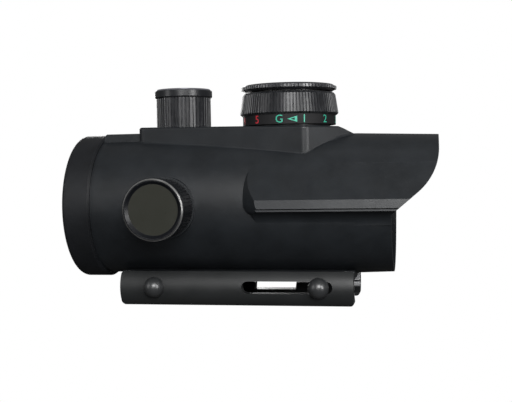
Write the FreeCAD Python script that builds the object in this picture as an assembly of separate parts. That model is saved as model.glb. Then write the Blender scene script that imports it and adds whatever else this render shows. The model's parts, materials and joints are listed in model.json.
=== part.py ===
"""Red dot finder, 1x30 class: illuminated reflex sight with a clamp base for a 21 mm rail.

Frame: +X is the front (hood), +Y the far side (clamp nuts), +Z up. The origin is the middle of
the flat rail seat on the underside of the base. Millimetres and degrees.
"""
import FreeCAD, Part
import math
import os
from FreeCAD import Placement, Rotation, Vector

os.makedirs("parts", exist_ok=True)

# ---- Driving dimensions -------------------------------------------------------------------
AXIS_Z = 19.0            # height of the optical axis above the rail seat
TUBE_R = 18.1            # outside of the cast tube
BORE_R = 16.3            # bore of the cast tube and of the hood
TUBE_REAR = -35.9        # rear face of the casting
TUBE_FRONT = 40.1        # front face of the lower half of the casting
HOOD_TIP = 51.6          # tip of the sunshade hood
SCOOP_R = 14.0           # radius of the hood's side curve
SCOOP_Z = 33.0           # height where that curve stands upright
SCOOP_TURN = 50.0        # degrees turned before the curve runs on straight

WING_HALF = 20.9         # half width of the front flanks
WING_SLOPE = 35.0        # degrees between the flank's normal and the horizontal
WING_BAND = 2.1          # height of the band along the widest place
WING_LEAN = 0.4          # the band's lower edge stands out this much further
WING_REAR = 3.9          # foot of the flank's rear ramp
WING_RAMP = 3.3          # length of that ramp
WING_END_R = 10.6        # radius of the ramp in side view, above its rearmost place
WING_END_Z = 19.6        # height of that place
WING_NOSE_R = 2.6        # radius below it
HOOD_START = 31.0        # the outside draws in from here to the tip of the hood
HOOD_R = 17.4            # outside radius at the tip

DECK_TOP = 39.3          # seats of the cap and the dial on the raised deck
DECK_LEAN = 0.018        # the deck's top falls this much per mm towards the front
DECK_LEVEL_X = 1.1       # and is level with the seats here
SPOT_R = 7.75            # spot face round the elevation cap
DECK_REAR = -26.3
DECK_FRONT = 33.0        # the outline runs on to here, below the tube surface
DECK_REAR_HALF = 6.9
DECK_WIDE_X = 19.0
DECK_WIDE_HALF = 12.7
DECK_FRONT_HALF = 1.4
RAMP_START = 26.6        # where the deck starts to fall towards the hood
RAMP_SLOPE = 0.53
DECK_CORNER_R = 2.6      # upright edge beside the dial
DECK_REAR_R = 2.0        # upright edges at the rear
DECK_RIM_R = 0.6
FOOT_R = 1.3             # hollow between the deck's sides and the tube
FOOT_REAR_R = 1.0        # the same at the rear end
RIB_TOP = 38.2
RIB_HALF = 6.0

RING_R = 19.05           # eyepiece ring
RING_REAR = -43.4
RING_EDGE_R = 1.3        # rounded rear edge
RING_BEVEL = 0.45        # bevel of its front edge
RING_MOUTH = 2.2         # the conical mouth is this much wider
RING_MOUTH_DEPTH = 2.6
SPIGOT = 5.0             # length that enters the tube
RING_CLEAR_R = 13.6      # clear opening of the eyepiece
WINDOW_R = 14.7
GASKET_REAR = -38.5      # the rear window stack, from the rear
GLASS_REAR = -38.1
GLASS_FRONT = -36.1
RETAINER_FRONT = -34.6

TURRET_X = -15.5         # the elevation screw stands at this X
WINDAGE_X = -16.0        # and the windage screw at this one
WINDAGE_FACE = 18.4      # the near side boss ends this far from the axis
BOSS_R = 7.7
CAP_RIM_R = 7.7
CAP_R = 7.27
CAP_FLUTE = 0.28         # depth of the flutes
CAP_LIP = 0.5            # bevel round the end face
CAP_SINK = 0.6           # depth of the sunk end face
SINK_R = 6.2             # its floor
SINK_MOUTH_R = 6.95      # and its sloping mouth
CAP_HOLLOW = 7.6         # depth of the hollow that covers the screw
CAP_LENGTH = 10.5
CAP_RIM = 2.3            # length of the smooth rim
CAP_FLUTES = 48
NECK_R = 5.0
NECK_H = 4.0
PLUG_R = 4.4
SCREW_R = 2.0
SCREW_HEAD_R = 3.5
HEAD_SEAT = 1.9          # floor of the recess round the screw head
PLUNGER_R = 1.0
PLUNGER_GAP = 0.1        # between the plunger tip and the inner tube

INNER_R = 14.6           # inner tube that tilts
INNER_BORE_R = 13.2
INNER_REAR = -24.0
INNER_FRONT = 34.0
GIMBAL_X = 29.0          # pivot plane of the inner tube
GIMBAL_HALF = 1.6
LENS_R = 13.75
LENS_REAR = 30.0
LENS_FRONT = 32.6
LENS_FRONT_CURVE = 160.0 # radii of the two lens faces
LENS_REAR_CURVE = 110.0
LENS_LOCK_R = 12.9       # opening of the lens retaining ring
LENS_LOCK_FRONT = 33.9
PIVOT_R = 0.6            # gimbal pins
GIMBAL_OUT_R = 15.8
GIMBAL_IN_R = 15.1
REST_FLAT = 0.35         # depth of the flats the plungers bear on
LEAF = 0.35              # thickness of the bias spring
BEZEL_R = 13.9           # opening of the front bezel
BEZEL_MOUTH_R = 15.6
BEZEL_REAR = 35.6
BEZEL_FRONT = 38.6

DIAL_X = 13.15           # brightness dial
HUB_R = 10.75
CELL_R = 10.0            # CR2032 coin cell
CELL_H = 3.2
BAND_R = 12.2            # numbered band
BAND_BOTTOM = DECK_TOP + 0.25
BAND_TOP = 42.1
FLUTE = 0.24             # depth of the skirt's flutes
SKIRT_R = 12.92
SKIRT_TOP_R = 12.1
SKIRT_TOP = 47.8
SKIRT_FLUTES = 96
LID_R = 12.5             # battery cap
LID_BOTTOM = 48.25
LID_TOP = 49.95
LID_TEETH = 84
LID_UNDERCUT = 0.55      # height of the bevel under the teeth
CLICKS = 12
HUB_FLOOR = 40.9         # inner floor of the hub
HUB_TOP = 47.3
CELL_Z = 41.9            # underside of the coin cell
PLUG_BOTTOM = 45.3       # lower end of the battery cap's plug
BOARD_R = 7.2            # switch board under the hub
BOARD_PIT = 37.0         # floor of the pocket that holds it
HUB_SCREW_R = 8.3        # circle of the three hub screws
CLICK_R = 11.6           # circle of the click dimples
CLICK_BALL_R = 0.35
TRACK_IN_R = 11.15       # groove in the knob's underside that the ball runs in
TRACK_OUT_R = 12.0
REBATE_R = 11.45         # step in the knob's top edge
DIAL_SCREW_R = 0.8       # screws that hold the hub
DIAL_SCREW_HEAD_R = 1.3
LEAF_HALF = 1.2          # half width of the battery contact leaf

SEAT_HALF = 10.4         # half width of the rail seat pad
JAW_REAR = -30.1
JAW_FRONT = 30.4
JAW_TOP = 2.25
JAW_BOTTOM = -6.5
JAW_LOW_R = 1.0          # rounding of the jaw ends, low and high
JAW_HIGH_R = 0.6
RAIL_HALF = 10.6         # half of the 21.2 mm rail
RAIL_EDGE_Z = -2.8       # height of the rail's widest edge
BOLT_R = 1.5
HEAD_R = 2.65            # domed bolt head
HEAD_Y = 13.1            # its flat side stands this far from the middle
BOLT_Z = -1.65
REAR_BOLT_X = -20.9
FRONT_BOLT_X = 21.7
SLOT_REAR = 2.0
SLOT_FRONT = 25.2
FAR_SLOT_REAR = -0.4
SLOT_HEIGHT = 3.1
WINDOW_REAR = 1.3
WINDOW_BOTTOM = -4.95
WINDOW_FRONT = 12.8      # front end of the tall window in the far jaw
NUT_R = 4.8
NUT_Y = 14.0
NUT_H = 4.0
BOLT_END_Y = 18.2
WASHER_R = 3.6
WASHER_Y = 13.15         # near face of the washers

RUN = 0.05               # radial running clearance of shafts
FAR = 60.0               # longer than anything it cuts


# ---- Helpers ------------------------------------------------------------------------------
def rod(radius, start, end, x=0.0, y=0.0):
    """Cylinder along Z."""
    return Part.makeCylinder(radius, end - start, Vector(x, y, start))


def rod_x(radius, start, end, y=0.0, z=AXIS_Z):
    """Cylinder along X, on the optical axis unless told otherwise."""
    return Part.makeCylinder(radius, end - start, Vector(start, y, z), Vector(1, 0, 0))


def rod_y(radius, start, end, x, z):
    """Cylinder along Y."""
    return Part.makeCylinder(radius, end - start, Vector(x, start, z), Vector(0, 1, 0))


def block(x0, x1, y0, y1, z0, z1):
    return Part.makeBox(x1 - x0, y1 - y0, z1 - z0, Vector(x0, y0, z0))


def ring_x(outer, inner, start, end):
    return rod_x(outer, start, end).cut(rod_x(inner, start - 1, end + 1))


def turned(points):
    """Solid of revolution about Z from (radius, height) points."""
    wire = Part.makePolygon([Vector(r, 0, z) for r, z in points + points[:1]])
    return Part.Face(wire).revolve(Vector(0, 0, 0), Vector(0, 0, 1), 360)


def torus(radius, section, z=0.0):
    return Part.makeTorus(radius, section, Vector(0, 0, z), Vector(0, 0, 1))


def fluted_wire(radius, depth, count, z):
    """Closed outline with straight sided flutes."""
    points = []
    step = 2 * math.pi / count
    for index in range(count):
        for offset, reach in ((-0.42, -depth), (-0.25, 0.0), (0.25, 0.0), (0.42, -depth)):
            angle = (index + offset) * step
            points.append(Vector((radius + reach) * math.cos(angle), (radius + reach) * math.sin(angle), z))
    return Part.makePolygon(points + points[:1])


def fluted(radius, depth, count, start, end, end_radius=None):
    """Fluted drum along Z that may taper."""
    lower = fluted_wire(radius, depth, count, start)
    upper = fluted_wire(end_radius or radius, depth, count, end)
    return Part.makeLoft([lower, upper], True, True)


def side_prism(points, half=FAR):
    """Prism along Y over a side view outline of (x, z) points."""
    wire = Part.makePolygon([Vector(x, -half, z) for x, z in points + points[:1]])
    return Part.Face(wire).extrude(Vector(0, 2 * half, 0))


def mirrored(shape):
    return shape.mirror(Vector(0, 0, 0), Vector(0, 1, 0))


def edges_where(shape, test):
    return [edge for edge in shape.Edges if test(edge.BoundBox)]


def at_dial(shape):
    shape.translate(Vector(DIAL_X, 0, 0))
    return shape


# ---- Housing ------------------------------------------------------------------------------
def scoop_cutter():
    """Everything in front of the hood's side curve and the lower front face."""
    centre_x = HOOD_TIP - SCOOP_R
    turn = math.radians(SCOOP_TURN)
    middle = Vector(centre_x + SCOOP_R * math.cos(turn / 2), -FAR, SCOOP_Z - SCOOP_R * math.sin(turn / 2))
    start = Vector(HOOD_TIP, -FAR, SCOOP_Z)
    stop = Vector(centre_x + SCOOP_R * math.cos(turn), -FAR, SCOOP_Z - SCOOP_R * math.sin(turn))
    run = (stop.x - TUBE_FRONT) / math.sin(turn)
    foot = Vector(TUBE_FRONT, -FAR, stop.z - run * math.cos(turn))
    outline = [Part.Arc(start, middle, stop).toShape()]
    corners = [stop, foot, Vector(TUBE_FRONT, -FAR, -FAR), Vector(FAR + HOOD_TIP, -FAR, -FAR)]
    corners += [Vector(FAR + HOOD_TIP, -FAR, FAR), Vector(HOOD_TIP, -FAR, FAR), start]
    for first, second in zip(corners, corners[1:]):
        outline.append(Part.makeLine(first, second))
    return Part.Face(Part.Wire(outline)).extrude(Vector(0, 2 * FAR, 0))


def wing_section():
    """Cross section of the near flank along the whole front, as a bar along X."""
    slope = math.radians(WING_SLOPE)
    touch = (-TUBE_R * math.cos(slope), TUBE_R * math.sin(slope))
    shoulder = (TUBE_R - WING_HALF * math.cos(slope)) / math.sin(slope)
    lower = shoulder - WING_BAND
    root = -4.75
    root_y = -math.sqrt(TUBE_R ** 2 - root ** 2)

    def point(y, z):
        return Vector(0, y, AXIS_Z + z)

    edge_y = -WING_HALF - WING_LEAN
    lines = [point(-9, 8), point(*touch), point(-WING_HALF, shoulder), point(edge_y, lower)]
    lines += [point(edge_y + 0.5, lower - 0.3), point(edge_y + 0.35, lower - 0.7)]
    cove = Part.Arc(lines[-1], point(-WING_HALF + 2.3, lower - 2.0), point(root_y, root)).toShape()
    edges = [Part.makeLine(a, b) for a, b in zip(lines, lines[1:])]
    closing = [point(root_y, root), point(-9, root), point(-9, 8)]
    edges += [cove] + [Part.makeLine(a, b) for a, b in zip(closing, closing[1:])]
    return Part.Face(Part.Wire(edges)).extrude(Vector(HOOD_TIP, 0, 0))


def wing_outline(rear, y):
    """Side view outline of the flank with its round rear end."""
    high = AXIS_Z + 10.9
    low = AXIS_Z - 6.0

    def on_arc(z):
        rise = z - WING_END_Z
        return Vector(rear + WING_END_R - math.sqrt(WING_END_R ** 2 - rise ** 2), y, z)

    def on_nose(degrees):
        turn = math.radians(degrees)
        along = WING_NOSE_R * (1 - math.cos(turn))
        return Vector(rear + along, y, WING_END_Z - WING_NOSE_R * math.sin(turn))

    nose = Part.Arc(on_nose(70), on_nose(35), on_nose(0)).toShape()
    arc = Part.Arc(on_nose(0), on_arc((WING_END_Z + high) / 2), on_arc(high)).toShape()
    heel = Vector(rear + 2.2 * WING_NOSE_R, y, low)
    corners = [on_arc(high), Vector(FAR, y, high), Vector(FAR, y, low), heel, on_nose(70)]
    return Part.Wire([nose, arc] + [Part.makeLine(a, b) for a, b in zip(corners, corners[1:])])


def wing():
    """Near flank: the section bar trimmed by a ramped side view block."""
    outer_y = -WING_HALF - 1.0
    outer_rear = WING_REAR + WING_RAMP * (TUBE_R + outer_y) / (TUBE_R - WING_HALF)
    inner_y = -10.0
    inner_rear = WING_REAR + WING_RAMP * (TUBE_R + inner_y) / (TUBE_R - WING_HALF)
    side = Part.makeLoft([wing_outline(inner_rear, inner_y), wing_outline(outer_rear, outer_y)], True, True)
    return wing_section().common(side)


def deck_stations():
    """Plan points of the near deck outline from the rear corner to the front, with their normals."""
    rear = Vector(DECK_REAR, -DECK_REAR_HALF, 0)
    wide = Vector(DECK_WIDE_X, -DECK_WIDE_HALF, 0)
    front = Vector(DECK_FRONT, -DECK_FRONT_HALF, 0)
    side = (wide - rear).normalize()
    facet = (front - wide).normalize()
    side_normal = Vector(side.y, -side.x, 0)
    facet_normal = Vector(facet.y, -facet.x, 0)
    rear_normal = Vector(-1, 0, 0)
    stations = []

    def round_corner(corner, radius, before, after, reaches):
        """Stations round a corner whose flat sides have these two normals."""
        middle = (before + after).normalize()
        centre = corner - middle * (radius / middle.dot(before))
        for share, reach in zip((0.0, 0.5, 1.0), reaches):
            normal = (before * (1 - share) + after * share).normalize()
            stations.append((centre + normal * radius, normal, reach))

    halfway = (FOOT_REAR_R + FOOT_R) / 2
    round_corner(rear, DECK_REAR_R, rear_normal, side_normal, (FOOT_REAR_R, halfway, FOOT_R))
    stations.append(((rear + wide) * 0.5, side_normal, FOOT_R))
    round_corner(wide, DECK_CORNER_R, side_normal, facet_normal, (FOOT_R, FOOT_R, FOOT_R))
    stations.append(((wide + front) * 0.5, facet_normal, FOOT_R))
    stations.append((front - facet * 1.0, facet_normal, FOOT_R))
    return stations


def foot_section(place, normal, radius):
    """Hollow corner between the upright deck side and the tube, in the upright plane along the normal."""
    def surface(reach):
        y = place.y + normal.y * reach
        return AXIS_Z + math.sqrt(max(TUBE_R ** 2 - y ** 2, 0))

    def nearest(height):
        reaches = [radius * step / 80 for step in range(81)]
        return min(reaches, key=lambda reach: math.hypot(reach - radius, surface(reach) - height))

    def clearance(height):
        reach = nearest(height)
        return math.hypot(reach - radius, surface(reach) - height)

    low = surface(0)
    high = low + 2 * radius
    for _ in range(40):
        middle = (low + high) / 2
        low, high = (middle, high) if clearance(middle) < radius else (low, middle)
    centre = low - 0.04

    def point(reach, z):
        return Vector(place.x + normal.x * reach, place.y + normal.y * reach, z)

    sunk = radius - 0.04
    touch = nearest(low)
    slope = (surface(touch + 0.02) - surface(touch - 0.02)) / 0.04
    first = -math.pi
    last = -math.pi / 2 + math.atan(slope)
    spread = []
    for share in (0.0, 0.5, 1.0):
        angle = first * (1 - share) + last * share
        spread.append(point(sunk + radius * math.cos(angle), centre + radius * math.sin(angle)))
    arc = Part.Arc(*spread).toShape()
    below = spread[2].z - 0.8
    corners = [spread[2], Vector(spread[2].x, spread[2].y, below)]
    corners += [point(-1.0, below), point(-1.0, centre), spread[0]]
    return Part.Wire([arc] + [Part.makeLine(a, b) for a, b in zip(corners, corners[1:])])


def deck_foot():
    sections = [foot_section(*station) for station in deck_stations()]
    return Part.makeLoft(sections, True, True)


def deck():
    """Raised deck: narrow at the rear, widest beside the dial, with a ramp at the front."""
    rear_top = DECK_TOP + DECK_LEAN * (DECK_LEVEL_X - DECK_REAR + 1)
    ramp_top = DECK_TOP + DECK_LEAN * (DECK_LEVEL_X - RAMP_START)
    above = DECK_TOP + 3
    half = [(DECK_REAR, DECK_REAR_HALF), (DECK_WIDE_X, DECK_WIDE_HALF), (DECK_FRONT, DECK_FRONT_HALF)]
    plan = [(x, -y) for x, y in half] + [(x, y) for x, y in reversed(half)]
    wire = Part.makePolygon([Vector(x, y, AXIS_Z + 9) for x, y in plan + plan[:1]])
    body = Part.Face(wire).extrude(Vector(0, 0, above - AXIS_Z - 9))
    uprights = edges_where(body, lambda box: box.ZLength > 5 and abs(box.XMin - DECK_WIDE_X) < 1)
    body = body.makeFillet(DECK_CORNER_R, uprights)
    uprights = edges_where(body, lambda box: box.ZLength > 5 and box.XMin < DECK_REAR + 1)
    body = body.makeFillet(DECK_REAR_R, uprights)
    fall_end = DECK_FRONT + 1
    top = [(DECK_REAR - 1, rear_top), (RAMP_START, ramp_top)]
    top.append((fall_end, ramp_top - RAMP_SLOPE * (fall_end - RAMP_START)))
    trim = side_prism(top + [(fall_end, above + 1), (DECK_REAR - 1, above + 1)])
    body = body.cut(trim)
    rim = edges_where(body, lambda box: box.ZMin > ramp_top - 0.01)
    body = body.makeFillet(DECK_RIM_R, rim)
    foot = deck_foot()
    body = body.fuse([foot.cut(trim), mirrored(foot).cut(trim)])
    body = body.cut(rod(SPOT_R, DECK_TOP, above, TURRET_X))
    return body.fuse(rod(HUB_R, DECK_TOP - 2, DECK_TOP, DIAL_X))


def tube_outside():
    """Tube, flanks, deck, rib, side boss and base pad before boring."""
    body = rod_x(TUBE_R, TUBE_REAR, HOOD_START)
    hood_length = HOOD_TIP - HOOD_START
    hood = Part.makeCone(TUBE_R, HOOD_R, hood_length, Vector(HOOD_START, 0, AXIS_Z), Vector(1, 0, 0))
    body = body.fuse(hood)
    near = wing()
    body = body.fuse([near, mirrored(near)])
    body = body.cut(scoop_cutter())
    rib = block(TUBE_REAR, DECK_REAR + 1, -RIB_HALF, RIB_HALF, AXIS_Z + 12, RIB_TOP)
    rib_nose = edges_where(rib, lambda box: box.ZMin > RIB_TOP - 0.01 and box.XMax < TUBE_REAR + 0.01)
    rib = rib.makeChamfer(0.7, rib_nose)
    boss = rod_y(BOSS_R, -WINDAGE_FACE, -8, WINDAGE_X, AXIS_Z)
    pad = block(JAW_REAR, JAW_FRONT, -SEAT_HALF, SEAT_HALF, 0, JAW_TOP)
    body = body.fuse([rib, deck(), boss, pad])
    return body.removeSplitter()


def pocket_cutters():
    """Bores and pockets of the casting."""
    cuts = [rod_x(BORE_R, TUBE_REAR - 1, HOOD_TIP + 1)]
    cuts.append(rod(PLUG_R, AXIS_Z + 10, DECK_TOP + 1, TURRET_X))
    cuts.append(rod_y(PLUG_R, -WINDAGE_FACE - 1, -10, WINDAGE_X, AXIS_Z))
    cuts.append(rod(BOARD_R + 0.15, BOARD_PIT, DECK_TOP + 1, DIAL_X))
    cuts.append(rod(0.5, BOARD_PIT, DECK_TOP + 1, DIAL_X - CLICK_R))
    for x, y in dial_screw_places():
        cuts.append(rod(DIAL_SCREW_R, BOARD_PIT + 0.4, DECK_TOP + 1, x, y))
    cuts.append(rod(PIVOT_R, AXIS_Z - BORE_R - 1.0, AXIS_Z + BORE_R + 1.0, GIMBAL_X))
    return cuts


def main_housing():
    body = tube_outside()
    for cutter in pocket_cutters():
        body = body.cut(cutter)
    return body.removeSplitter()


# ---- Eyepiece -----------------------------------------------------------------------------
def eyepiece_ring():
    """Screwed ring with a rounded rear edge, a conical mouth and a spigot in the tube."""
    body = rod_x(RING_R, RING_REAR, TUBE_REAR)
    rear_edge = edges_where(body, lambda box: box.XMax < RING_REAR + 0.01)
    body = body.makeFillet(RING_EDGE_R, rear_edge)
    front_edge = edges_where(body, lambda box: box.XMin > TUBE_REAR - 0.01)
    body = body.makeChamfer(RING_BEVEL, front_edge)
    body = body.fuse(rod_x(BORE_R - RUN, TUBE_REAR, TUBE_REAR + SPIGOT))
    start = Vector(RING_REAR, 0, AXIS_Z)
    mouth = Part.makeCone(RING_CLEAR_R + RING_MOUTH, RING_CLEAR_R, RING_MOUTH_DEPTH, start, Vector(1, 0, 0))
    body = body.cut(mouth)
    body = body.cut(rod_x(RING_CLEAR_R, RING_REAR - 1, 0))
    return body.cut(rod_x(WINDOW_R + 0.1, GASKET_REAR, 0))


def rear_window():
    return rod_x(WINDOW_R, GLASS_REAR, GLASS_FRONT)


def rear_window_gasket():
    return ring_x(WINDOW_R, RING_CLEAR_R + 0.3, GASKET_REAR, GLASS_REAR)


def spanner_ring(outer, inner, start, end):
    """Threaded retaining ring with two spanner notches."""
    body = ring_x(outer, inner, start, end)
    notch = block(end - 0.7, end + 1, -outer - 1, outer + 1, AXIS_Z - 0.7, AXIS_Z + 0.7)
    return body.cut(notch)


# ---- Inner tube, gimbal and emitter -------------------------------------------------------
def inner_tube():
    """Tilting tube: lens seat and pivot holes at the front, rest pads for the screws at the rear."""
    body = ring_x(INNER_R, INNER_BORE_R, INNER_REAR, INNER_FRONT)
    body = body.cut(rod_x(LENS_R, LENS_REAR, INNER_FRONT + 1))
    body = body.cut(rod_y(PIVOT_R, -FAR, FAR, GIMBAL_X, AXIS_Z))
    top_flat = block(TURRET_X - 3, TURRET_X + 3, -3, 3, AXIS_Z + INNER_R - REST_FLAT, AXIS_Z + FAR)
    side_flat = block(WINDAGE_X - 3, WINDAGE_X + 3, -FAR, -INNER_R + REST_FLAT, AXIS_Z - 3, AXIS_Z + 3)
    return body.cut(top_flat).cut(side_flat)


def objective_lens():
    """Meniscus reflector lens, hollow side to the rear."""
    disc = rod_x(LENS_R - RUN, LENS_REAR, LENS_FRONT)
    front = Part.makeSphere(LENS_FRONT_CURVE, Vector(LENS_FRONT - LENS_FRONT_CURVE, 0, AXIS_Z))
    hollow = Part.makeSphere(LENS_REAR_CURVE, Vector(LENS_REAR + 0.8 - LENS_REAR_CURVE, 0, AXIS_Z))
    return disc.common(front).cut(hollow)


def gimbal_ring():
    body = ring_x(GIMBAL_OUT_R, GIMBAL_IN_R, GIMBAL_X - GIMBAL_HALF, GIMBAL_X + GIMBAL_HALF)
    body = body.cut(rod(PIVOT_R + RUN, AXIS_Z - FAR, AXIS_Z + FAR, GIMBAL_X))
    return body.cut(rod_y(PIVOT_R + RUN, -FAR, FAR, GIMBAL_X, AXIS_Z))


def gimbal_upright_pins():
    """Pressed into the casting; the ring yaws on them."""
    top = rod(PIVOT_R, AXIS_Z + GIMBAL_IN_R + 0.1, AXIS_Z + BORE_R + 1.0, GIMBAL_X)
    bottom = rod(PIVOT_R, AXIS_Z - BORE_R - 1.0, AXIS_Z - GIMBAL_IN_R - 0.1, GIMBAL_X)
    return Part.makeCompound([top, bottom])


def gimbal_level_pins():
    """Pressed into the inner tube; the tube pitches on them."""
    far = rod_y(PIVOT_R, LENS_R - 0.4, GIMBAL_OUT_R - 0.1, GIMBAL_X, AXIS_Z)
    return Part.makeCompound([far, mirrored(far)])


def bias_spring():
    """Bowed leaf against the bore, opposite the two screws."""
    leaf = ring_x(BORE_R, BORE_R - LEAF, TURRET_X - 5, TURRET_X + 5)
    return leaf.common(block(-FAR, FAR, 2.5, FAR, -FAR, AXIS_Z - 2.5))


def emitter_holder():
    """Bracket low in the inner tube that aims the lamps at the lens."""
    body = block(-20.5, -16.5, -3.2, 3.2, AXIS_Z - 14, AXIS_Z - 9.6)
    body = body.common(rod_x(INNER_BORE_R, -24, -10))
    return body.cut(block(-19.3, -18.1, -2.6, 2.6, AXIS_Z - 12.2, AXIS_Z))


def emitter_board():
    return block(-19.25, -18.35, -2.5, 2.5, AXIS_Z - 12.1, AXIS_Z - 8.6)


def emitter_lamps():
    """Red and green lamp chips side by side."""
    near = block(-18.35, -17.75, -1.5, -0.3, AXIS_Z - 9.55, AXIS_Z - 8.9)
    return Part.makeCompound([near, mirrored(near)])


def objective_bezel():
    """Black front ring that hides the gimbal."""
    body = ring_x(BORE_R, BEZEL_R, BEZEL_REAR, BEZEL_FRONT)
    depth = BEZEL_FRONT - BEZEL_REAR - 1.0
    start = Vector(BEZEL_FRONT - depth, 0, AXIS_Z)
    cone = Part.makeCone(BEZEL_R, BEZEL_MOUTH_R, depth, start, Vector(1, 0, 0))
    return body.cut(cone)


# ---- Adjustment turrets, modelled upright on their boss face at the origin ------------------
def turret_saddle(depth):
    body = rod(PLUG_R, -depth, 0).fuse(rod(NECK_R, 0, NECK_H))
    body = body.cut(rod(SCREW_R + RUN, -depth - 1, NECK_H + 1))
    body = body.cut(rod(SCREW_HEAD_R + 0.1, HEAD_SEAT, NECK_H + 1))
    return body.removeSplitter()


def turret_screw(depth):
    """Coin slotted screw, bored from below for its plunger."""
    head = rod(SCREW_HEAD_R, HEAD_SEAT + RUN, HEAD_SEAT + 1.6)
    body = rod(SCREW_R, -depth + 0.2, HEAD_SEAT + 0.1).fuse(head)
    body = body.cut(rod(PLUNGER_R + RUN, -depth - 1, 1.2))
    return body.cut(block(-4, 4, -0.4, 0.4, 2.7, 4)).removeSplitter()


def turret_plunger(reach):
    tip = Part.makeSphere(PLUNGER_R, Vector(0, 0, -reach + PLUNGER_GAP + PLUNGER_R))
    return rod(PLUNGER_R, -reach + PLUNGER_GAP + PLUNGER_R, 0.5).fuse(tip).removeSplitter()


def turret_cap():
    """Fluted screw cap with a smooth lip and a sunk end face."""
    knurl_top = CAP_LENGTH - CAP_RIM
    body = fluted(CAP_R, CAP_FLUTE, CAP_FLUTES, 0.2, knurl_top)
    rim = rod(CAP_RIM_R, knurl_top, CAP_LENGTH)
    lip = edges_where(rim, lambda box: box.ZMin > CAP_LENGTH - 0.01)
    rim = rim.makeChamfer(CAP_LIP, lip)
    foot = edges_where(rim, lambda box: box.ZMax < knurl_top + 0.01)
    body = body.fuse(rim.makeChamfer(0.3, foot))
    sink = CAP_LENGTH - CAP_SINK
    over = CAP_LENGTH + 0.1
    dish = [(0, sink), (SINK_R, sink), (SINK_MOUTH_R, CAP_LENGTH), (SINK_MOUTH_R, over), (0, over)]
    body = body.cut(turned(dish))
    body = body.cut(rod(NECK_R + 0.1, -1, CAP_HOLLOW))
    return body.cut(rod(6.3, -1, 1.4))


def turret_cap_oring():
    return torus(NECK_R + 0.6, 0.45, 0.7)


def upright(shape):
    shape.Placement = Placement(Vector(TURRET_X, 0, DECK_TOP), Rotation())
    return shape


def sideways(shape):
    turn = Rotation(Vector(1, 0, 0), 90)
    shape.Placement = Placement(Vector(WINDAGE_X, -WINDAGE_FACE, AXIS_Z), turn)
    return shape


def turret_parts(name, place, boss_height):
    """The five pieces of one adjustment, from the boss height above the optical axis."""
    depth = boss_height - BORE_R - 0.4
    reach = boss_height - INNER_R + REST_FLAT
    return {
        name + "_saddle": place(turret_saddle(depth)),
        name + "_screw": place(turret_screw(depth)),
        name + "_plunger": place(turret_plunger(reach)),
        name + "_cap": place(turret_cap()),
        name + "_cap_oring": place(turret_cap_oring()),
    }


# ---- Brightness dial and battery ----------------------------------------------------------
def dial_screw_places():
    places = []
    for degrees in (30, 150, 270):
        angle = math.radians(degrees)
        places.append((DIAL_X + HUB_SCREW_R * math.cos(angle), HUB_SCREW_R * math.sin(angle)))
    return places


def dial_base():
    """Fixed hub: floor screwed to the deck, wall round the coin cell."""
    body = rod(HUB_R, DECK_TOP, HUB_TOP).cut(rod(CELL_R + 0.1, HUB_FLOOR, FAR))
    body = body.cut(rod(1.2, 0, FAR))
    body = at_dial(body)
    for x, y in dial_screw_places():
        body = body.cut(rod(DIAL_SCREW_R + RUN, 0, FAR, x, y))
        body = body.cut(rod(DIAL_SCREW_HEAD_R + 0.2, HUB_FLOOR - 0.9, FAR, x, y))
    return body


def dial_base_screws():
    screws = []
    for x, y in dial_screw_places():
        shank = rod(DIAL_SCREW_R, BOARD_PIT + 0.5, HUB_FLOOR - 0.8, x, y)
        screw = shank.fuse(rod(DIAL_SCREW_HEAD_R, HUB_FLOOR - 0.9, HUB_FLOOR - 0.2, x, y))
        slot = block(x - 2, x + 2, y - 0.2, y + 0.2, HUB_FLOOR - 0.5, FAR)
        screws.append(screw.cut(slot).removeSplitter())
    return Part.makeCompound(screws)


def dial_knob():
    """Fluted skirt over a plain numbered band, with a click track in its underside."""
    band = rod(BAND_R, BAND_BOTTOM, BAND_TOP)
    shoulder = SKIRT_TOP_R + 0.1
    lower = fluted(SKIRT_R - 0.45, FLUTE, SKIRT_FLUTES, BAND_TOP, BAND_TOP + 0.45, SKIRT_R)
    skirt = fluted(SKIRT_R, FLUTE, SKIRT_FLUTES, BAND_TOP + 0.45, SKIRT_TOP - 0.5, shoulder)
    upper = fluted(shoulder, FLUTE, SKIRT_FLUTES, SKIRT_TOP - 0.5, SKIRT_TOP, SKIRT_TOP_R - 0.3)
    body = band.fuse([lower, skirt, upper]).removeSplitter()
    body = body.cut(rod(HUB_R + 0.08, 0, FAR))
    body = body.cut(rod(REBATE_R, SKIRT_TOP - 1.4, FAR))
    ceiling = BAND_BOTTOM + 0.5
    track = [(TRACK_IN_R, 0), (TRACK_OUT_R, 0), (TRACK_OUT_R, ceiling), (TRACK_IN_R, ceiling)]
    body = body.cut(turned(track))
    for index in range(CLICKS):
        angle = 2 * math.pi * index / CLICKS
        spot = Vector(CLICK_R * math.cos(angle), CLICK_R * math.sin(angle), ceiling)
        body = body.cut(Part.makeSphere(CLICK_BALL_R + 0.01, spot))
    return at_dial(body)


def dial_oring():
    return at_dial(torus(11.1, 0.28, SKIRT_TOP - 1.05))


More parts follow.
